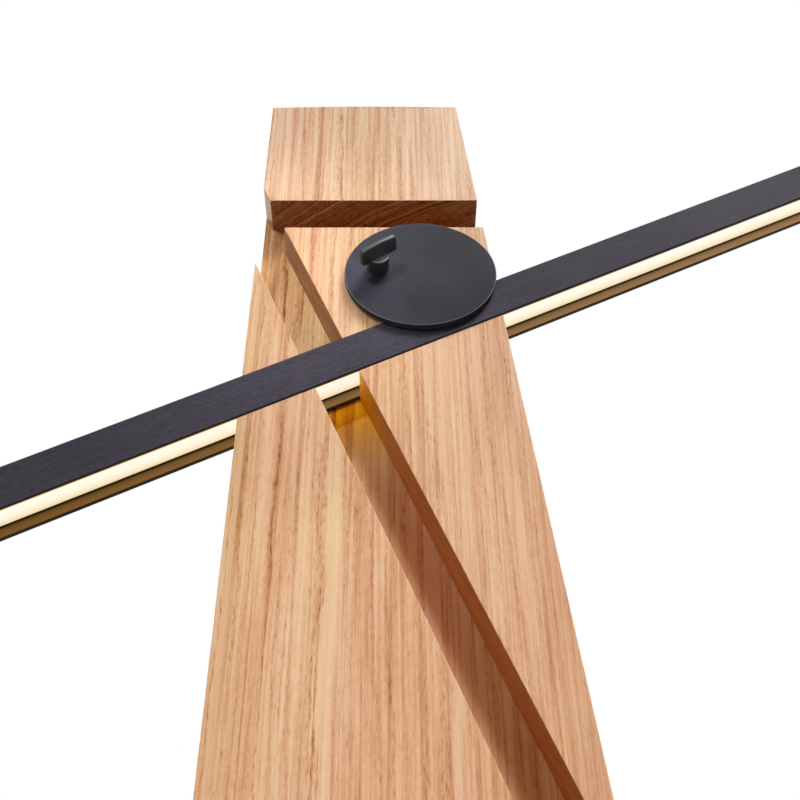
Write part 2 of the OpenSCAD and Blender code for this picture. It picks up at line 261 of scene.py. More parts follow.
def growth_rings(shade, fibre, strand):
    """The count of rings from the pith, the share of the way through a ring, and the ring's chance."""
    x, y, _ = parts_of(object_place(shade))
    sway = noise(object_place(shade, (6, 6, 1.3))) - 0.5
    ripple = noise(object_place(shade, (40, 40, 10)), 3.0) - 0.5
    jag = noise(object_place(shade, (260, 260, 90)), 2.0) - 0.5
    across = x - PITH_X + 0.05 * sway + 0.014 * ripple + 0.003 * jag
    depth = y - PITH_Y
    radius = (across * across + depth * depth).math("SQRT")
    uneven = radius.node("TexNoise", {"noise_dimensions": "1D"},
                         {"W": radius, "Scale": 70.0, "Detail": 3.0})
    count = radius / RING_SPACING + 2.6 * uneven
    phase = count + 0.3 * fibre + 0.5 * strand
    ring = phase.math("FLOOR")
    chance = ring.node("TexWhiteNoise", {"noise_dimensions": "1D"}, {"W": ring})
    return count, phase - ring, chance


def open_pores(shade, share, chance):
    """How porous each ring is, and its open pores, which crowd where it begins."""
    early = ramp(share, [(0.0, 0.2), (0.07, 0.9), (0.16, 1.0), (0.3, 0.4), (0.6, 0.12), (1.0, 0.2)])
    breaks = clamped(noise(object_place(shade, (60, 60, 7)), 3.0), 0.3, 0.68)
    porous = early * (0.4 + 0.6 * chance) * (0.3 + 0.7 * breaks)
    place = object_place(shade, (1050, 1050, 190))
    cells = shade.node("TexVoronoi", inputs={"Vector": place, "Scale": 1.0})
    pick = parts_of(cells.output("Color"))[0]
    pores = clamped(cells, 0.62, 0.15) * clamped(1.25 * porous + 0.02 - pick, 0.0, 0.3)
    return porous, pores


def grain_colour(shade, fibre, strand, porous, pores):
    """The wood's colour along the grain, with a stronger figure towards the left."""
    bold = clamped(parts_of(object_place(shade))[0], 0.03, -0.13)
    dashes = clamped(noise(object_place(shade, (950, 950, 120), shift=(2, 8, 5)), 2.0, 0.6), 0.5, 0.66)
    specks = noise(object_place(shade, (1100, 1100, 420), shift=(6, 3, 7))) - 0.5
    tone = noise(object_place(shade, (16, 16, 1.8), shift=(3, 1, 2)), 3.0)
    bands = noise(object_place(shade, (80, 80, 2.5), shift=(1, 6, 4)), 2.0)
    veins = clamped(noise(object_place(shade, (170, 170, 2.2), shift=(5, 9, 3)), 3.0, 0.6), 0.5, 0.66)
    darkness = ((0.14 + 0.2 * bold) * porous
                + (0.1 + 0.14 * bold) * pores
                + (0.05 + (0.1 + 0.1 * bold) * porous) * dashes
                + (1.3 - 0.7 * bold) * (fibre - 0.5)
                + (0.5 + 0.1 * bold) * (strand - 0.5)
                + (0.2 + 0.35 * bold) * (bands - 0.5)
                + 0.6 * (tone - 0.5)
                + 0.25 * specks
                + bold * (0.26 * veins - 0.04)
                + 0.26)
    blush = noise(object_place(shade, (22, 22, 4), shift=(7, 5, 1)), 2.0) - 0.12 * bold
    flush = mixed(clamped(blush, 0.28, 0.56), (1.0, 1.0, 0.95), (1.0, 0.93, 0.94))
    return tinted(ramp(darkness, GRAIN), flush)


def end_grain_colour(shade, rings, fibre, strand, pores):
    """The wood's colour on a cut across the grain: arcs of the rings, with painted light that makes it paler at
    the left edge.
    """
    count, share, chance = rings
    line = ramp(share, [(0.0, 0.25), (0.05, 1.0), (0.16, 0.5), (0.3, 0.1), (0.9, 0.0), (1.0, 0.25)])
    third = (3.0 * count).math("FRACT")
    thirds = ramp(third, [(0.0, 0.0), (0.1, 1.0), (0.3, 0.9), (0.5, 0.1), (1.0, 0.0)])
    arcs = (0.5 * line * chance + 0.45 * thirds + 0.5 * (fibre - 0.5) + 0.5 * (strand - 0.5)
            - 0.25 * pores)
    # Painted light: the cut is paler at the left edge
    by_edge = clamped(parts_of(object_place(shade))[0], -0.09, -0.14)
    painted_edge_light = mixed(by_edge, (0.78, 0.76, 0.73), PLAIN)
    return tinted(mixed(clamped(arcs, 0.0, 0.9), END_GRAIN_DARK, END_GRAIN_PALE), painted_edge_light)


def post_faces(shade):
    """How far a face looks up or down, how far to the front, and if it is a slot's wall or floor."""
    y = parts_of(object_place(shade))[1]
    facing = parts_of(shade.node("TexCoord", output="Normal"))
    front_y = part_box("post")[0].y
    rise = facing[2].math("ABSOLUTE")
    front = clamped(facing[1], -0.5, -0.9)
    sloping = clamped(rise, 0.15, 0.3) * clamped(rise, 0.9, 0.7)
    wall = clamped(facing[1].math("ABSOLUTE"), 0.5, 0.1) * sloping
    slot_floor = front * clamped(y, front_y + 1 * MM, front_y + 5 * MM)
    return rise, front, wall, slot_floor


def post_tint_and_painted_light(shade, front, wall, slot_floor):
    """The post's tint: darker along its sides, with painted light and shade across its front, near the clamp, on
    its top block and on its slots' floors.
    """
    x, _, z = parts_of(object_place(shade))
    low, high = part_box("post")
    from_side = (x - low.x).math("MINIMUM", high.x - POST_TAPER * z - x)
    by_side = front * clamped(from_side, 18 * MM, 4 * MM)
    # Painted light and shade across the front: lighter to the left, darker to the right
    across = mixed(clamped(x, -0.12, 0.09), LEFT_PAINTED_LIGHT, RIGHT_PAINTED_SHADE)
    lower = tinted(across, mixed(by_side, PLAIN, EDGE_TINT))
    # Painted shade near the clamp, deeper left of the tone line
    past_line = clamped(x + TONE_LINE_LEAN * z - TONE_LINE_FOOT, -TONE_LINE_SOFTNESS, TONE_LINE_SOFTNESS)
    upper = mixed(past_line * (1.0 - slot_floor), UPPER_LEFT_PAINTED_SHADE, UPPER_RIGHT_PAINTED_SHADE)
    shown = front.math("MAXIMUM", wall)
    side = mixed(shown * clamped(z, *CLAMP_RISE), lower, upper)
    # Painted sheen: the top block is paler and bluer
    whole = mixed((shown - slot_floor) * clamped(z, *BLOCK_RISE), side, BLOCK_PAINTED_SHEEN)
    # Painted light on the slots' floors, stronger near the clamp
    painted_floor_light = mixed(clamped(z, *FLOOR_RISE), FLOOR_PAINTED_LIGHT, UPPER_FLOOR_PAINTED_LIGHT)
    return tinted(whole, mixed(slot_floor, PLAIN, painted_floor_light))


def slot_painted_light_and_shade(shade, wall, slot_floor):
    """Painted shade and light on the slots' walls, and the strip's golden light painted on wall and floor beside
    it.
    """
    z = parts_of(object_place(shade))[2]
    # Painted light on the walls beside the level slot, and painted shade on the walls below
    upper = mixed(clamped(z, *LEVEL_SLOT_RISE), UPPER_WALL_PAINTED_SHADE, LEVEL_SLOT_PAINTED_LIGHT)
    walls = mixed(wall, PLAIN, mixed(clamped(z, *WALL_RISE), WALL_PAINTED_SHADE, upper))
    # The strip's golden light, painted on the slot's walls and floor beside it
    by_strip_painted_light = slot_floor.math("MAXIMUM", wall) * clamped(z, *STRIP_START) * clamped(z, *STRIP_END)
    return mixed(by_strip_painted_light, walls, STRIP_PAINTED_LIGHT)


def wood_look(shade):
    """Ring-porous wood: growth rings about a pith, with rows of open pores and fibres along Z."""
    fibre = noise(object_place(shade, (620, 620, 8)), 4.0, 0.7)
    strand = noise(object_place(shade, (210, 210, 5), shift=(4, 2, 9)), 3.0, 0.6)
    rings = growth_rings(shade, fibre, strand)
    porous, pores = open_pores(shade, *rings[1:])
    rise, front, wall, slot_floor = post_faces(shade)
    grain = grain_colour(shade, fibre, strand, porous, pores)
    along = tinted(grain, post_tint_and_painted_light(shade, front, wall, slot_floor))
    across = end_grain_colour(shade, rings, fibre, strand, pores)
    whole = mixed(clamped(rise, 0.1, 0.6), along, across)
    return {
        "Base Color": tinted(whole, slot_painted_light_and_shade(shade, wall, slot_floor)),
        "Roughness": 0.46 + 0.16 * fibre + 0.1 * pores,
        "Normal": bump(0.4 * fibre - 0.8 * pores, 0.25 * MM, 0.5),
    }


LENS_IN_WALL = 0.7 * MM

# The strip's light, painted as a glow on the channel's walls and lower edge, at the left of the bar and at the
# right
GLOW_SPAN = (-0.3, 0.25)
PAINTED_WALL_GLOW = (srgb(106, 68, 24), srgb(142, 108, 74))
PAINTED_EDGE_GLOW = (srgb(236, 180, 84), srgb(150, 106, 78))

# Shares of the painted glow from the lens down to the mouth of the channel
GLOW_SHARES = [(0.0, 0.03), (0.16, 0.05), (0.3, 0.7), (0.6, 1.0),
               (0.8, 1.0), (0.85, 1.6), (0.89, 0.1), (1.0, 0.02)]

# Where along the bar a painted sheen comes in and goes out, and how much paler it is
PAINTED_SHEEN_START = (-0.3, -0.1)
PAINTED_SHEEN_END = (0.12, 0.0)
PAINTED_SHEEN = (1.35, 1.35, 1.33)


def places_on_bar(shade):
    """Places along the light bar, towards its back and up from its mouth, from the middle of the lens."""
    x, y, z = parts_of(object_place(shade, shift=tuple(-middle("lens"))))
    return BAR_ALONG.x * x + BAR_ALONG.z * z, y, BAR_UP.x * x + BAR_UP.z * z


def painted_channel_glow(along, depth, height):
    """Which places lie inside the channel, and the strip's light painted as a glow there and on the front's lower
    edge.
    """
    reach = span("lens").y / 2 - LENS_IN_WALL
    between_walls = clamped(depth.math("ABSOLUTE"), reach + 0.1 * MM, reach)
    inside = between_walls * clamped(height, 2 * MM, MM)
    to_right = clamped(along, *GLOW_SPAN)
    shares = ramp(clamped(height, -1 * MM, -10 * MM), GLOW_SHARES)
    lit = mixed(inside, BLACK, tinted(mixed(to_right, *PAINTED_WALL_GLOW), shares))
    in_front = clamped(depth, -reach + 0.2 * MM, -reach)
    edge = (clamped(height, -9.3 * MM, -9.7 * MM) * in_front
            * clamped(depth, -reach - 0.8 * MM, -reach - 0.5 * MM))
    return inside, mixed(edge, lit, mixed(to_right, *PAINTED_EDGE_GLOW))


def brushed_black_look(shade):
    """Black anodised metal with fine lines along the light bar, a painted sheen, and the strip's light painted as
    a glow in the channel.
    """
    lines = noise(object_place(shade, (5, 2600, 2600), BAR_TURN), 3.0, 0.65)
    broad = noise(object_place(shade, (3, 160, 160), BAR_TURN), 2.0)
    clouds = noise(object_place(shade, 24, BAR_TURN), 3.0)
    mottle = noise(object_place(shade, (260, 700, 700), BAR_TURN), 2.0, 0.7)
    along, depth, height = places_on_bar(shade)
    inside, glow = painted_channel_glow(along, depth, height)
    tone = clamped(0.4 * lines + 0.2 * broad + 0.4 * mottle, 0.32, 0.68)
    # Painted sheen: the bar is paler near the clamp
    painted_sheen = clamped(along, *PAINTED_SHEEN_START) * clamped(along, *PAINTED_SHEEN_END)
    colour = tinted(mixed(tone, srgb(38, 35, 43), srgb(70, 65, 75)), mixed(painted_sheen, PLAIN, PAINTED_SHEEN))
    cloudy = tinted(colour, mixed(clamped(clouds, 0.3, 0.7), PLAIN, (0.86, 0.86, 0.9)))
    return {
        "Base Color": mixed(inside, cloudy, srgb(18, 17, 18)),
        "Emission Color": glow,
        "Roughness": 0.56 + 0.16 * lines + 0.06 * clouds,
        "Normal": bump(lines, 0.03 * MM, 0.5),
    }


def powder_look(pale, dark):
    """Matte powder coat with a fine orange-peel grain."""

    def look(shade):
        grain = noise(object_place(shade, 1700), 2.0, 0.6)
        peel = noise(object_place(shade, 420), 2.0)
        clouds = noise(object_place(shade, 35), 3.0)
        tone = clamped(0.55 * grain + 0.45 * clouds, 0.32, 0.68)
        return {
            "Base Color": mixed(tone, dark, pale),
            "Roughness": 0.58 + 0.18 * grain,
            "Normal": bump(0.6 * grain + 0.6 * peel, 0.08 * MM, 0.5),
        }

    return look


# Painted light and shade across the disc: paler towards its lower left, darker towards its upper right
DISC_PAINTED_LIGHT = (2.3, 2.3, 2.3)
DISC_PAINTED_SHADE = (0.84, 0.84, 0.84)


def disc_look(pale, dark, worn):
    """The powder coat of the disc, with painted light that makes it paler towards its lower left, and its rims
    worn paler with a painted highlight.
    """
    coat = powder_look(pale, dark)

    def look(shade):
        size = span("clamp_disc")
        radius = size.x / 2
        half = size.y / 2
        x, y, z = parts_of(object_place(shade, shift=tuple(-middle("clamp_disc"))))
        rim = clamped((x * x + z * z).math("SQRT"), radius - 0.7 * MM, radius - 0.25 * MM)
        # The rims: worn paler, and carrying a painted highlight
        rim_wear_and_highlight = rim * clamped(y.math("ABSOLUTE"), half - 0.65 * MM, half - 0.3 * MM)
        looks = coat(shade)
        # Painted light: the coat is paler towards the lower left
        painted_side_light = mixed(clamped(x + 0.35 * z, -0.9 * radius, 0.6 * radius), DISC_PAINTED_LIGHT, DISC_PAINTED_SHADE)
        return {**looks, "Base Color": mixed(rim_wear_and_highlight, tinted(looks["Base Color"], painted_side_light), worn)}

    return look


def moulded_look(pale, dark, grain_scale):
    """Moulded plastic with a fine spark-eroded texture."""

    def look(shade):
        grain = noise(object_place(shade, grain_scale), 2.0, 0.6)
        clouds = noise(object_place(shade, 60), 2.0)
        return {
            "Base Color": mixed(clamped(0.5 * grain + 0.5 * clouds, 0.3, 0.7), dark, pale),
            "Roughness": 0.36 + 0.2 * grain,
            "Normal": bump(grain, 0.05 * MM, 0.5),
        }

    return look


HUB_HEIGHT = 10.0 * MM


def knob_look(pale, dark, worn):
    """Moulded plastic with a bare metal shoulder on the hub."""
    plastic = moulded_look(pale, dark, 1500)

    def look(shade):
        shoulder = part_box("clamp_knob")[1].y - HUB_HEIGHT
        height = parts_of(object_place(shade))[1]
        forward = -1.0 * parts_of(shade.node("TexCoord", output="Normal"))[1]
        near = clamped((height - shoulder).math("ABSOLUTE"), 0.6 * MM, 0.3 * MM)
        bare = near * clamped(forward, 0.5, 0.9)
        looks = plastic(shade)
        return {**looks, "Base Color": mixed(bare, looks["Base Color"], worn), "Metallic": bare}

    return look


def metal_look(pale, dark):
    """Plated or turned metal with fine scratches and a little tarnish."""

    def look(shade):
        scratches = noise(object_place(shade, (2200, 300, 2200)), 3.0, 0.6)
        tarnish = noise(object_place(shade, 130), 3.0)
        return {
            "Base Color": mixed(clamped(tarnish, 0.3, 0.7), pale, dark),
            "Roughness": 0.24 + 0.2 * scratches + 0.12 * tarnish,
            "Normal": bump(scratches, 0.02 * MM, 0.4),
        }

    return look


# The lit strip's colours from its front edge to its rear one
OPAL = [(0.0, srgb(255, 196, 96)), (0.10, srgb(255, 250, 226)), (0.3, srgb(255, 253, 240)),
        (0.7, srgb(255, 249, 230)), (0.88, srgb(252, 234, 200)), (1.0, srgb(240, 206, 150))]


def opal_look(shade):
    """Lit opal strip: nearly white, warmer towards the rear wall and along the front one."""
    low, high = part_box("lens")
    depth = clamped(parts_of(object_place(shade))[1], low.y, high.y)
    return {"Emission Color": ramp(depth, OPAL)}


def felt_look(shade):
    """Pressed felt with loose fibres."""
    fibres = noise(object_place(shade, 900), 4.0, 0.7)
    clumps = noise(object_place(shade, 90), 3.0)
    tone = clamped(0.6 * fibres + 0.4 * clumps, 0.3, 0.7)
    return {
        "Base Color": mixed(tone, srgb(38, 38, 40), srgb(70, 70, 72)),
        "Roughness": 0.85 + 0.1 * fibres,
        "Normal": bump(fibres, 0.4 * MM, 0.7),
    }


def board_look(pale, dark):
    """Solder mask with faint copper tracks along the light bar."""

    def look(shade):
        tracks = clamped(noise(object_place(shade, (20, 700, 60), BAR_TURN), 1.0), 0.46, 0.54)
        speckle = noise(object_place(shade, 900), 2.0)
        return {
            "Base Color": mixed(0.8 * tracks + 0.2 * speckle, pale, dark),
            "Roughness": 0.3 + 0.2 * speckle,
        }

    return look


BLACK_GLOSS = {"Specular_IOR_Level": 0.1}

# Pale and dark tones of the coat and of the plastic, and the tone of their worn parts, which on the disc's rims
# also stands for a painted highlight
DISC_TONES = (srgb(47, 46, 54), srgb(25, 24, 31), srgb(128, 124, 128))
KNOB_TONES = (srgb(62, 58, 61), srgb(46, 43, 46), srgb(160, 158, 166))

FINISHES = {
    "wood": finish("oiled_wood", wood_look, Specular_IOR_Level=0.25),
    "bar_metal": finish("brushed_black", brushed_black_look, Emission_Strength=1.0, **BLACK_GLOSS),
    "disc_metal": finish("disc_powder_coat", disc_look(*DISC_TONES), **BLACK_GLOSS),
    "plate_metal": finish("plate_powder_coat", powder_look(srgb(46, 46, 50), srgb(34, 34, 38)),
                          **BLACK_GLOSS),
    "knob_plastic": finish("knob_plastic", knob_look(*KNOB_TONES), Specular_IOR_Level=0.35),
    "cap_plastic": finish("cap_plastic", moulded_look(srgb(44, 44, 48), srgb(30, 30, 33), 1100)),
    "button_metal": finish("button_metal", metal_look(srgb(96, 96, 102), srgb(60, 60, 66)), Metallic=1.0),
    "steel": finish("zinc_steel", metal_look(srgb(196, 198, 202), srgb(150, 152, 158)), Metallic=1.0),
    "brass": finish("turned_brass", metal_look(srgb(222, 190, 120), srgb(176, 138, 78)), Metallic=1.0),
    "liner": finish("liner_rubber", moulded_look(srgb(34, 33, 32), srgb(20, 20, 20), 700)),
    "felt": finish("pressed_felt", felt_look),
    "opal": finish("opal_lens", opal_look, Base_Color=rgba((0.2, 0.19, 0.16)), Emission_Strength=0.95),
    "board": finish("white_board", board_look(srgb(236, 240, 236), srgb(200, 206, 200))),
    "dimmer": finish("green_board", board_look(srgb(22, 92, 48), srgb(12, 60, 32))),
    "chip": finish("phosphor", moulded_look(srgb(250, 220, 110), srgb(232, 190, 70), 900)),
    "lead": finish("lead_insulation", moulded_look(srgb(170, 40, 32), srgb(140, 28, 24), 600)),
}


def dress(piece, slot):
    """Gives a piece one finish all over."""
    piece.data.materials.clear()
    piece.data.materials.append(FINISHES[slot])


def dress_nodes():
    """Gives every node of the frame the finish of its slot."""
    for part in frame["record"]["subparts"]:
        dress(frame["nodes"][part["node"]], part["material_slot"])


# Modelling

# Verts closer than this are one, and faces that turn by less than this are one
SAME_PLACE = 0.001 * MM
SAME_PLANE = math.radians(0.2)
SLIVER = 0.01 * MM

# The least turn between two faces at an edge that is eased, and at a clear corner
EASED_ANGLE = math.radians(30)
SHARP_ANGLE = 1.0
BORE_SIDES = 48

# A length that passes right through any of the fittings
THROUGH = 1.0


def take_up(piece):
    """Makes a piece the only selected one."""
    bpy.ops.object.select_all(action="DESELECT")
    piece.select_set(True)
    bpy.context.view_layer.objects.active = piece


def added(name):
    """The primitive that was just added, under its name."""
    piece = bpy.context.object
    piece.name = name
    take_up(piece)
    return piece


def choose(piece, kind, test):
    """In edit mode, selects only the verts, edges or faces that pass a test."""
    bpy.ops.mesh.select_mode(type={"verts": "VERT", "edges": "EDGE", "faces": "FACE"}[kind])
    bpy.ops.mesh.select_all(action="DESELECT")
    mesh = bmesh.from_edit_mesh(piece.data)
    for item in getattr(mesh, kind):
        item.select = test(item)
    mesh.select_flush_mode()
    bmesh.update_edit_mesh(piece.data)


def editing(on=True):
    """Goes into edit mode, or out of it."""
    bpy.ops.object.mode_set(mode="EDIT" if on else "OBJECT")


def turned(name, sides, radius, length, centre=(0, 0, 0), turn=(0, 0, 0)):
    """A cylinder about its own Z axis."""
    bpy.ops.object.select_all(action="DESELECT")
    bpy.ops.mesh.primitive_cylinder_add(vertices=sides, radius=radius, depth=length,
                                        location=centre, rotation=turn)
    return added(name)


def merged_copy(node, name):
    """A copy of a node's mesh with its triangles merged into whole faces, ready to be shaped."""
    piece = bpy.data.objects.new(name, frame["nodes"][node].data.copy())
    bpy.context.scene.collection.objects.link(piece)
    take_up(piece)
    editing()
    bpy.ops.mesh.select_all(action="SELECT")
    bpy.ops.mesh.customdata_custom_splitnormals_clear()
    bpy.ops.mesh.remove_doubles(threshold=SAME_PLACE)
    bpy.ops.mesh.dissolve_limited(angle_limit=SAME_PLANE)
    editing(False)
    return piece


def cut(piece, cutter, operation="DIFFERENCE"):
    """Cuts one piece out of another, or joins it to it."""
    take_up(piece)
    modifier = piece.modifiers.new(operation.lower(), "BOOLEAN")
    modifier.operation = operation
    modifier.object = cutter
    modifier.solver = "EXACT"
    bpy.ops.object.modifier_apply(modifier=modifier.name)
    bpy.data.objects.remove(cutter)
    editing()
    bpy.ops.mesh.select_all(action="SELECT")
    bpy.ops.mesh.remove_doubles(threshold=SLIVER)
    bpy.ops.mesh.dissolve_degenerate(threshold=SLIVER)
    editing(False)


def settle(piece, body, slot, *nodes, smooth=30.0):
    """Applies a piece's place, smooths it, dresses it and makes it stand for its nodes."""
    take_up(piece)
    bpy.ops.object.transform_apply(location=True, rotation=True, scale=True)
    bpy.ops.object.shade_smooth_by_angle(angle=math.radians(smooth))
    dress(piece, slot)
    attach(piece, body)
    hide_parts(*nodes)


def is_sharp(edge):
    """A test for the edges where faces meet at a clear corner."""
    return edge.calc_face_angle(0.0) > SHARP_ANGLE


def is_long_and_bent(least):
    """A test for the edges that a hand would ease."""

    def test(edge):
        bent = edge.is_manifold and edge.calc_face_angle(0.0) > EASED_ANGLE
        return bent and edge.calc_length() > least

    return test


def eased_piece(node, name, body, slot, width, least):
    """A node with its bent edges eased, apart from those shorter than the least."""
    piece = merged_copy(node, name)
    editing()
    choose(piece, "edges", is_long_and_bent(least))
    bpy.ops.mesh.bevel(offset=width, segments=3, affect="EDGES")
    editing(False)
    settle(piece, body, slot, node, smooth=10.0)


# The stand

POST_EASE = 0.4 * MM
POST_LEAST_EDGE = 8 * MM
PLATE_EASE = 0.9 * MM
PLATE_LEAST_EDGE = 3 * MM


def stand():
    """The post and the plate under it, with their edges eased."""
    eased_piece("post", "wooden_post", "stand", "wood", POST_EASE, POST_LEAST_EDGE)
    eased_piece("floor_plate", "foot_plate", "stand", "plate_metal", PLATE_EASE, PLATE_LEAST_EDGE)


# The clamp

SCREW_TURN = (math.radians(90), 0, 0)
DISC_SIDES = 192
DISC_EASE = 0.5 * MM
DISC_BORE = 3.1 * MM
HUB_SIDES = 72
HUB_FOOT_RADIUS = 7.1 * MM
HUB_RADIUS = 7.05 * MM
HUB_EASE = 0.6 * MM
WING_LENGTH = 27.5 * MM
WING_THICKNESS = 4.6 * MM
WING_EDGE_THICKNESS = 3.2 * MM
WING_CROWN = 1.0 * MM
WING_CUTS = 15
WING_SINK = 0.7 * MM
WING_CORNER = 2.2 * MM
WING_EASE = 0.55 * MM
WING_TURN = math.radians(38)


def clamp_disc():
    """Eccentric disc with rounded rims and the screw's hole."""
    size = span("clamp_disc")
    screw = middle("clamp_stud")
    centre = middle("clamp_disc")
    disc = turned("eccentric_disc", DISC_SIDES, size.x / 2, size.y, centre, SCREW_TURN)
    bore_centre = (screw.x, centre.y, screw.z)
    cut(disc, turned("disc_bore", BORE_SIDES, DISC_BORE, 3 * size.y, bore_centre, SCREW_TURN))
    editing()
    rim = size.x / 2 * 0.99
    choose(disc, "edges", lambda e: is_sharp(e) and e.verts[0].co.xy.length > rim)
    bpy.ops.mesh.bevel(offset=DISC_EASE, segments=3, affect="EDGES")
    editing(False)
    settle(disc, "disc", "disc_metal", "clamp_disc", smooth=35)


def knob_hub(foot):
    """Nearly straight hub with eased rims, from its foot on the washer outwards."""
    bpy.ops.object.select_all(action="DESELECT")
    bpy.ops.mesh.primitive_cone_add(vertices=HUB_SIDES, radius1=HUB_FOOT_RADIUS, radius2=HUB_RADIUS,
                                    depth=HUB_HEIGHT, location=foot + FRONT * HUB_HEIGHT / 2,
                                    rotation=SCREW_TURN)
    hub = added("wing_knob")
    editing()
    choose(hub, "edges", is_sharp)
    bpy.ops.mesh.bevel(offset=HUB_EASE, segments=4, affect="EDGES")
    editing(False)
    return hub


def knob_wing(centre, height):
    """Wing with rounded ends, which thins towards its crowned outer edge."""
    bpy.ops.object.select_all(action="DESELECT")
    bpy.ops.mesh.primitive_cube_add(size=1, location=centre, rotation=(math.radians(90), -WING_TURN, 0))
    wing = added("wing")
    wing.scale = (WING_LENGTH, WING_THICKNESS, height)
    bpy.ops.object.transform_apply(location=False, rotation=False, scale=True)
    editing()
    choose(wing, "edges", lambda e: abs(e.verts[0].co.x - e.verts[1].co.x) > WING_LENGTH / 2)
    bpy.ops.mesh.subdivide(number_cuts=WING_CUTS)
    mesh = bmesh.from_edit_mesh(wing.data)
    for vertex in (v for v in mesh.verts if v.co.z > 0):
        vertex.co.y *= WING_EDGE_THICKNESS / WING_THICKNESS
        vertex.co.z -= WING_CROWN * (2 * vertex.co.x / WING_LENGTH) ** 2
    bmesh.update_edit_mesh(wing.data)
    choose(wing, "edges", lambda e: abs(e.verts[0].co.y) > MM and e.verts[0].co.y * e.verts[1].co.y < 0
           and abs(e.verts[0].co.x) > 0.49 * WING_LENGTH)
    bpy.ops.mesh.bevel(offset=WING_CORNER, segments=6, affect="EDGES")
    choose(wing, "edges", is_sharp)
    bpy.ops.mesh.bevel(offset=WING_EASE, segments=3, affect="EDGES")
    editing(False)
    return wing


def clamp_knob():
    """T-shaped knob: a hub on the screw and a wing across it."""
    low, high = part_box("clamp_knob")
    screw = middle("clamp_stud")
    hub = knob_hub(Vector((screw.x, high.y, screw.z)))
    height = high.y - low.y - HUB_HEIGHT + WING_SINK
    wing = knob_wing(Vector((screw.x, low.y + height / 2, screw.z)), height)
    cut(hub, wing, "UNION")
    settle(hub, "knob", "knob_plastic", "clamp_knob", smooth=35)


# The light bar's fittings: turned pieces, shaped about their own Z axis, which points out of the bar

CORD_BORE = 2.3 * MM
BUSH_SIDES = 48
BUSH_RADIUS = 3.7 * MM
BUSH_LENGTH = 10.0 * MM
BUSH_BEHIND_NUT = 1.51 * MM
FLANGE_RADIUS = 4.6 * MM
FLANGE_THICKNESS = 2.0 * MM
THREAD_TURNS = 8
THREAD_ROOT = 0.92
NUT_WALL = 1.5 * MM
NUT_THICKNESS = 3.0 * MM
NUT_PLAY = 0.05 * MM
KNURLS = 32
KNURL_ROOT = 0.95
RING_BORE = 4.05 * MM
FITTING_EASE = 0.3 * MM
BUTTON_SIDES = 64
BUTTON_EASE = 0.4 * MM

# Rings of the button's face from its rim inwards: the width of each, and how far it sinks
BUTTON_RINGS = ((0.8 * MM, 0.0), (0.5 * MM, 0.18 * MM), (0.7 * MM, 0.12 * MM))


def drilled(piece, radius):
    """Drills a turned piece along its axis, all the way through."""
    cut(piece, turned("bore", BORE_SIDES, radius, THROUGH))


def placed(piece, centre, outward):
    """Moves a turned piece to its place on the lamp."""
    piece.rotation_euler = outward.to_track_quat("Z", "Y").to_euler()
    piece.location = centre


def on_top(piece, radius=0.0):
    """A test for the edges round the outer face of a turned piece, outside a radius."""
    top = max(vertex.co.z for vertex in piece.data.vertices) - SLIVER
    return lambda edge: all(v.co.z > top and v.co.xy.length > radius for v in edge.verts)


def cord_bush():
    """Threaded bush that the cord enters by, with its flange inside the cap."""
    length = BUSH_LENGTH - FLANGE_THICKNESS
    bush = turned("cord_bush", BUSH_SIDES, BUSH_RADIUS, length)
    step = length / (2 * THREAD_TURNS)
    editing()
    choose(bush, "edges", lambda e: abs(e.verts[0].co.z - e.verts[1].co.z) > length / 2)
    bpy.ops.mesh.subdivide(number_cuts=2 * THREAD_TURNS - 1)
    choose(bush, "verts", lambda v: round((v.co.z + length / 2) / step) % 2 == 1)
    bpy.ops.transform.resize(value=(THREAD_ROOT, THREAD_ROOT, 1))
    choose(bush, "faces", lambda f: f.normal.z < -0.9)
    bpy.ops.mesh.extrude_region()
    widening = FLANGE_RADIUS / BUSH_RADIUS
    bpy.ops.transform.resize(value=(widening, widening, 1))
    bpy.ops.mesh.extrude_region()
    bpy.ops.transform.translate(value=(0, 0, -FLANGE_THICKNESS))
    editing(False)
    drilled(bush, CORD_BORE)
    from_nut = BUSH_BEHIND_NUT - FLANGE_THICKNESS / 2
    placed(bush, middle("gland_nut") + from_nut * BAR_ALONG, -BAR_ALONG)
    settle(bush, "light_bar", "cap_plastic", "cord_gland")


def cord_nut():
    """Hexagon nut with eased corners."""
    corner_radius = (BUSH_RADIUS + NUT_WALL) / math.cos(math.radians(30))
    nut = turned("cord_nut", 6, corner_radius, NUT_THICKNESS)
    editing()
    choose(nut, "edges", lambda e: True)
    bpy.ops.mesh.bevel(offset=FITTING_EASE, segments=2, affect="EDGES")
    editing(False)
    drilled(nut, BUSH_RADIUS + NUT_PLAY)
    placed(nut, middle("gland_nut"), -BAR_ALONG)
    settle(nut, "light_bar", "cap_plastic", "gland_nut")


def switch_ring():
    """Knurled ring nut of the push switch."""
    size = span("switch_nut")
    ring = turned("switch_ring", 2 * KNURLS, size.x / 2, size.y)
    editing()
    choose(ring, "verts", lambda v: round(math.atan2(v.co.y, v.co.x) / math.pi * KNURLS) % 2 == 1)
    bpy.ops.transform.resize(value=(KNURL_ROOT, KNURL_ROOT, 1))
    choose(ring, "edges", on_top(ring))
    bpy.ops.mesh.bevel(offset=FITTING_EASE, segments=2, affect="EDGES")
    editing(False)
    drilled(ring, RING_BORE)
    placed(ring, middle("switch_nut"), FRONT)
    settle(ring, "light_bar", "bar_metal", "switch_nut", smooth=20)


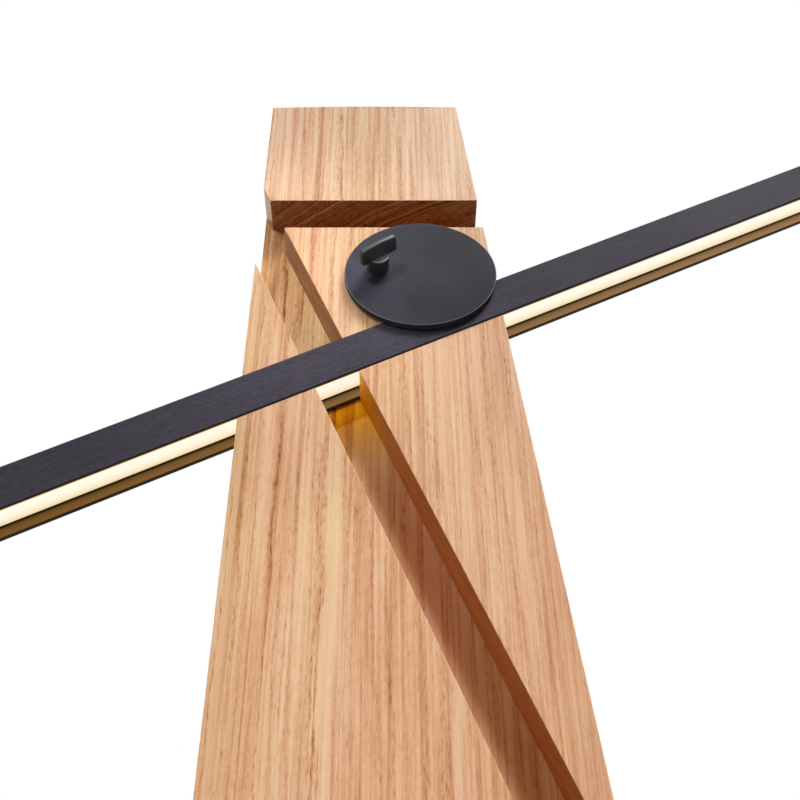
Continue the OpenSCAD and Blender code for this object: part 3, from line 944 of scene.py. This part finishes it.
def push_button():
    """Button with an eased rim and a dished face for the fingertip."""
    size = span("switch_button")
    button = turned("push_button", BUTTON_SIDES, size.x / 2, size.y)
    editing()
    choose(button, "faces", lambda f: f.normal.z > 0.9)
    for width, sink in BUTTON_RINGS:
        bpy.ops.mesh.inset(thickness=width)
        bpy.ops.transform.translate(value=(0, 0, -sink))
    choose(button, "edges", on_top(button, 0.95 * size.x / 2))
    bpy.ops.mesh.bevel(offset=BUTTON_EASE, segments=4, affect="EDGES")
    editing(False)
    placed(button, middle("switch_button"), FRONT)
    settle(button, "button", "button_metal", "switch_button", smooth=40)


# Stage, light and camera

FLOOR_SIDE = 60
SHADOW_FADE = (0.8, 2.4)
STRIP_SIZE = (1.18, 0.018)
STRIP_BELOW_LENS = 1.6 * MM


def seen_directly(shade):
    """1 for the rays of the camera, of mirrors and of glass, and 0 for those that carry light about."""
    rays = [shade.node("LightPath", output=ray) for ray in
            ("Is Camera Ray", "Is Glossy Ray", "Is Transmission Ray")]
    return rays[0].math("MAXIMUM", rays[1]).math("MAXIMUM", rays[2])


def floor_look(shade):
    """Pale near the lamp, where it shows the shadow, and plain white further off."""
    x, y, _ = parts_of(object_place(shade))
    far = clamped((x * x + y * y).math("SQRT"), *SHADOW_FADE)
    seen = seen_directly(shade)
    pale = mixed(seen, (0.3, 0.3, 0.3), (0.8, 0.8, 0.8))
    return {
        "Base Color": mixed(far, pale, BLACK),
        "Emission Color": mixed(far * seen, BLACK, PLAIN),
    }


def floor():
    """A wide floor that takes the lamp's shadow."""
    bpy.ops.object.select_all(action="DESELECT")
    bpy.ops.mesh.primitive_plane_add(size=FLOOR_SIDE)
    plane = added("floor")
    plane.data.materials.append(finish("pale_floor", floor_look, Roughness=0.9, Specular_IOR_Level=0.0,
                                       Emission_Strength=1.0))


def surroundings(light, white):
    """Dim light from all round, in front of a background that the camera and mirrors see as white."""
    world = bpy.data.worlds.new("surroundings")
    bpy.context.scene.world = world
    world.use_nodes = True
    background = world.node_tree.nodes["Background"]
    background.inputs["Color"].default_value = (1, 1, 1, 1)
    strength = light + (white - light) * seen_directly(Shade(world.node_tree))
    world.node_tree.links.new(strength.socket, background.inputs["Strength"])


def area_light(name, place, target, size, power, colour=PLAIN, spread=math.pi):
    """A rectangle of light at a place, aimed at a target and unseen by the camera."""
    light = bpy.data.lights.new(name, "AREA")
    light.shape = "RECTANGLE"
    light.size, light.size_y = size
    light.energy = power
    light.color = colour
    light.spread = spread
    lamp = bpy.data.objects.new(name, light)
    bpy.context.scene.collection.objects.link(lamp)
    aim = Vector(target) - Vector(place)
    lamp.matrix_world = Matrix.Translation(place) @ aim.to_track_quat("-Z", "Y").to_matrix().to_4x4()
    lamp.visible_camera = False
    return lamp


def strip_glow(power, colour):
    """Warm light of the strip, just below the lens, that rides on the light bar."""
    lamp = area_light("strip_glow", (0, 0, 0), (0, 0, -1), STRIP_SIZE, power, colour)
    turn = Matrix((BAR_ALONG, BAR_UP.cross(BAR_ALONG), BAR_UP)).transposed().to_4x4()
    lamp.matrix_world = Matrix.Translation(middle("lens") - STRIP_BELOW_LENS * BAR_UP) @ turn
    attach(lamp, "light_bar")


def photo_camera():
    """A camera fitted to the photograph, with its place, its turn and its lens."""
    forward = Vector((math.sin(CAMERA_YAW) * math.cos(CAMERA_PITCH),
                      math.cos(CAMERA_YAW) * math.cos(CAMERA_PITCH), math.sin(CAMERA_PITCH)))
    level = Vector((math.cos(CAMERA_YAW), -math.sin(CAMERA_YAW), 0))
    rise = level.cross(forward)
    right = math.cos(CAMERA_ROLL) * level + math.sin(CAMERA_ROLL) * rise
    up = math.cos(CAMERA_ROLL) * rise - math.sin(CAMERA_ROLL) * level
    data = bpy.data.cameras.new("photo_camera")
    data.sensor_width = SENSOR
    data.lens = FOCAL_PIXELS / PHOTO_SIDE * SENSOR
    data.clip_start = 10 * MM
    camera = bpy.data.objects.new("photo_camera", data)
    bpy.context.scene.collection.objects.link(camera)
    turn = Matrix((right, up, -forward)).transposed().to_4x4()
    camera.matrix_world = Matrix.Translation(CAMERA_PLACE) @ turn
    bpy.context.scene.camera = camera


dress_nodes()
stand()
clamp_disc()
clamp_knob()
cord_bush()
cord_nut()
switch_ring()
push_button()
# The strip's glow lights the wood, so the lens that shows it does not
frame["nodes"]["lens"].visible_diffuse = False
floor()
surroundings(light=0.1, white=1.0)
area_light("key_light", place=(2.2, -4.0, 6.9), target=(0, 0, 1.3), size=(2.6, 2.6), power=650)
area_light("clamp_light", place=(-0.63, -1.23, 1.84), target=(-0.12, -0.03, 1.41), size=(0.16, 0.16),
           power=0.06, spread=math.radians(9))
area_light("left_light", place=(-3.6, -2.4, 2.8), target=(0, 0, 1.2), size=(1.4, 1.4), power=26)
area_light("back_light", place=(-2.4, 4.4, 3.4), target=(0, 0, 0.9), size=(2.0, 2.0), power=190)
area_light("right_light", place=(4.2, 1.6, 3.2), target=(0, 0, 0.9), size=(2.0, 2.0), power=150)
strip_glow(power=0.19, colour=(1.0, 0.64, 0.0))
photo_camera()
bpy.context.scene.view_settings.view_transform = "Standard"
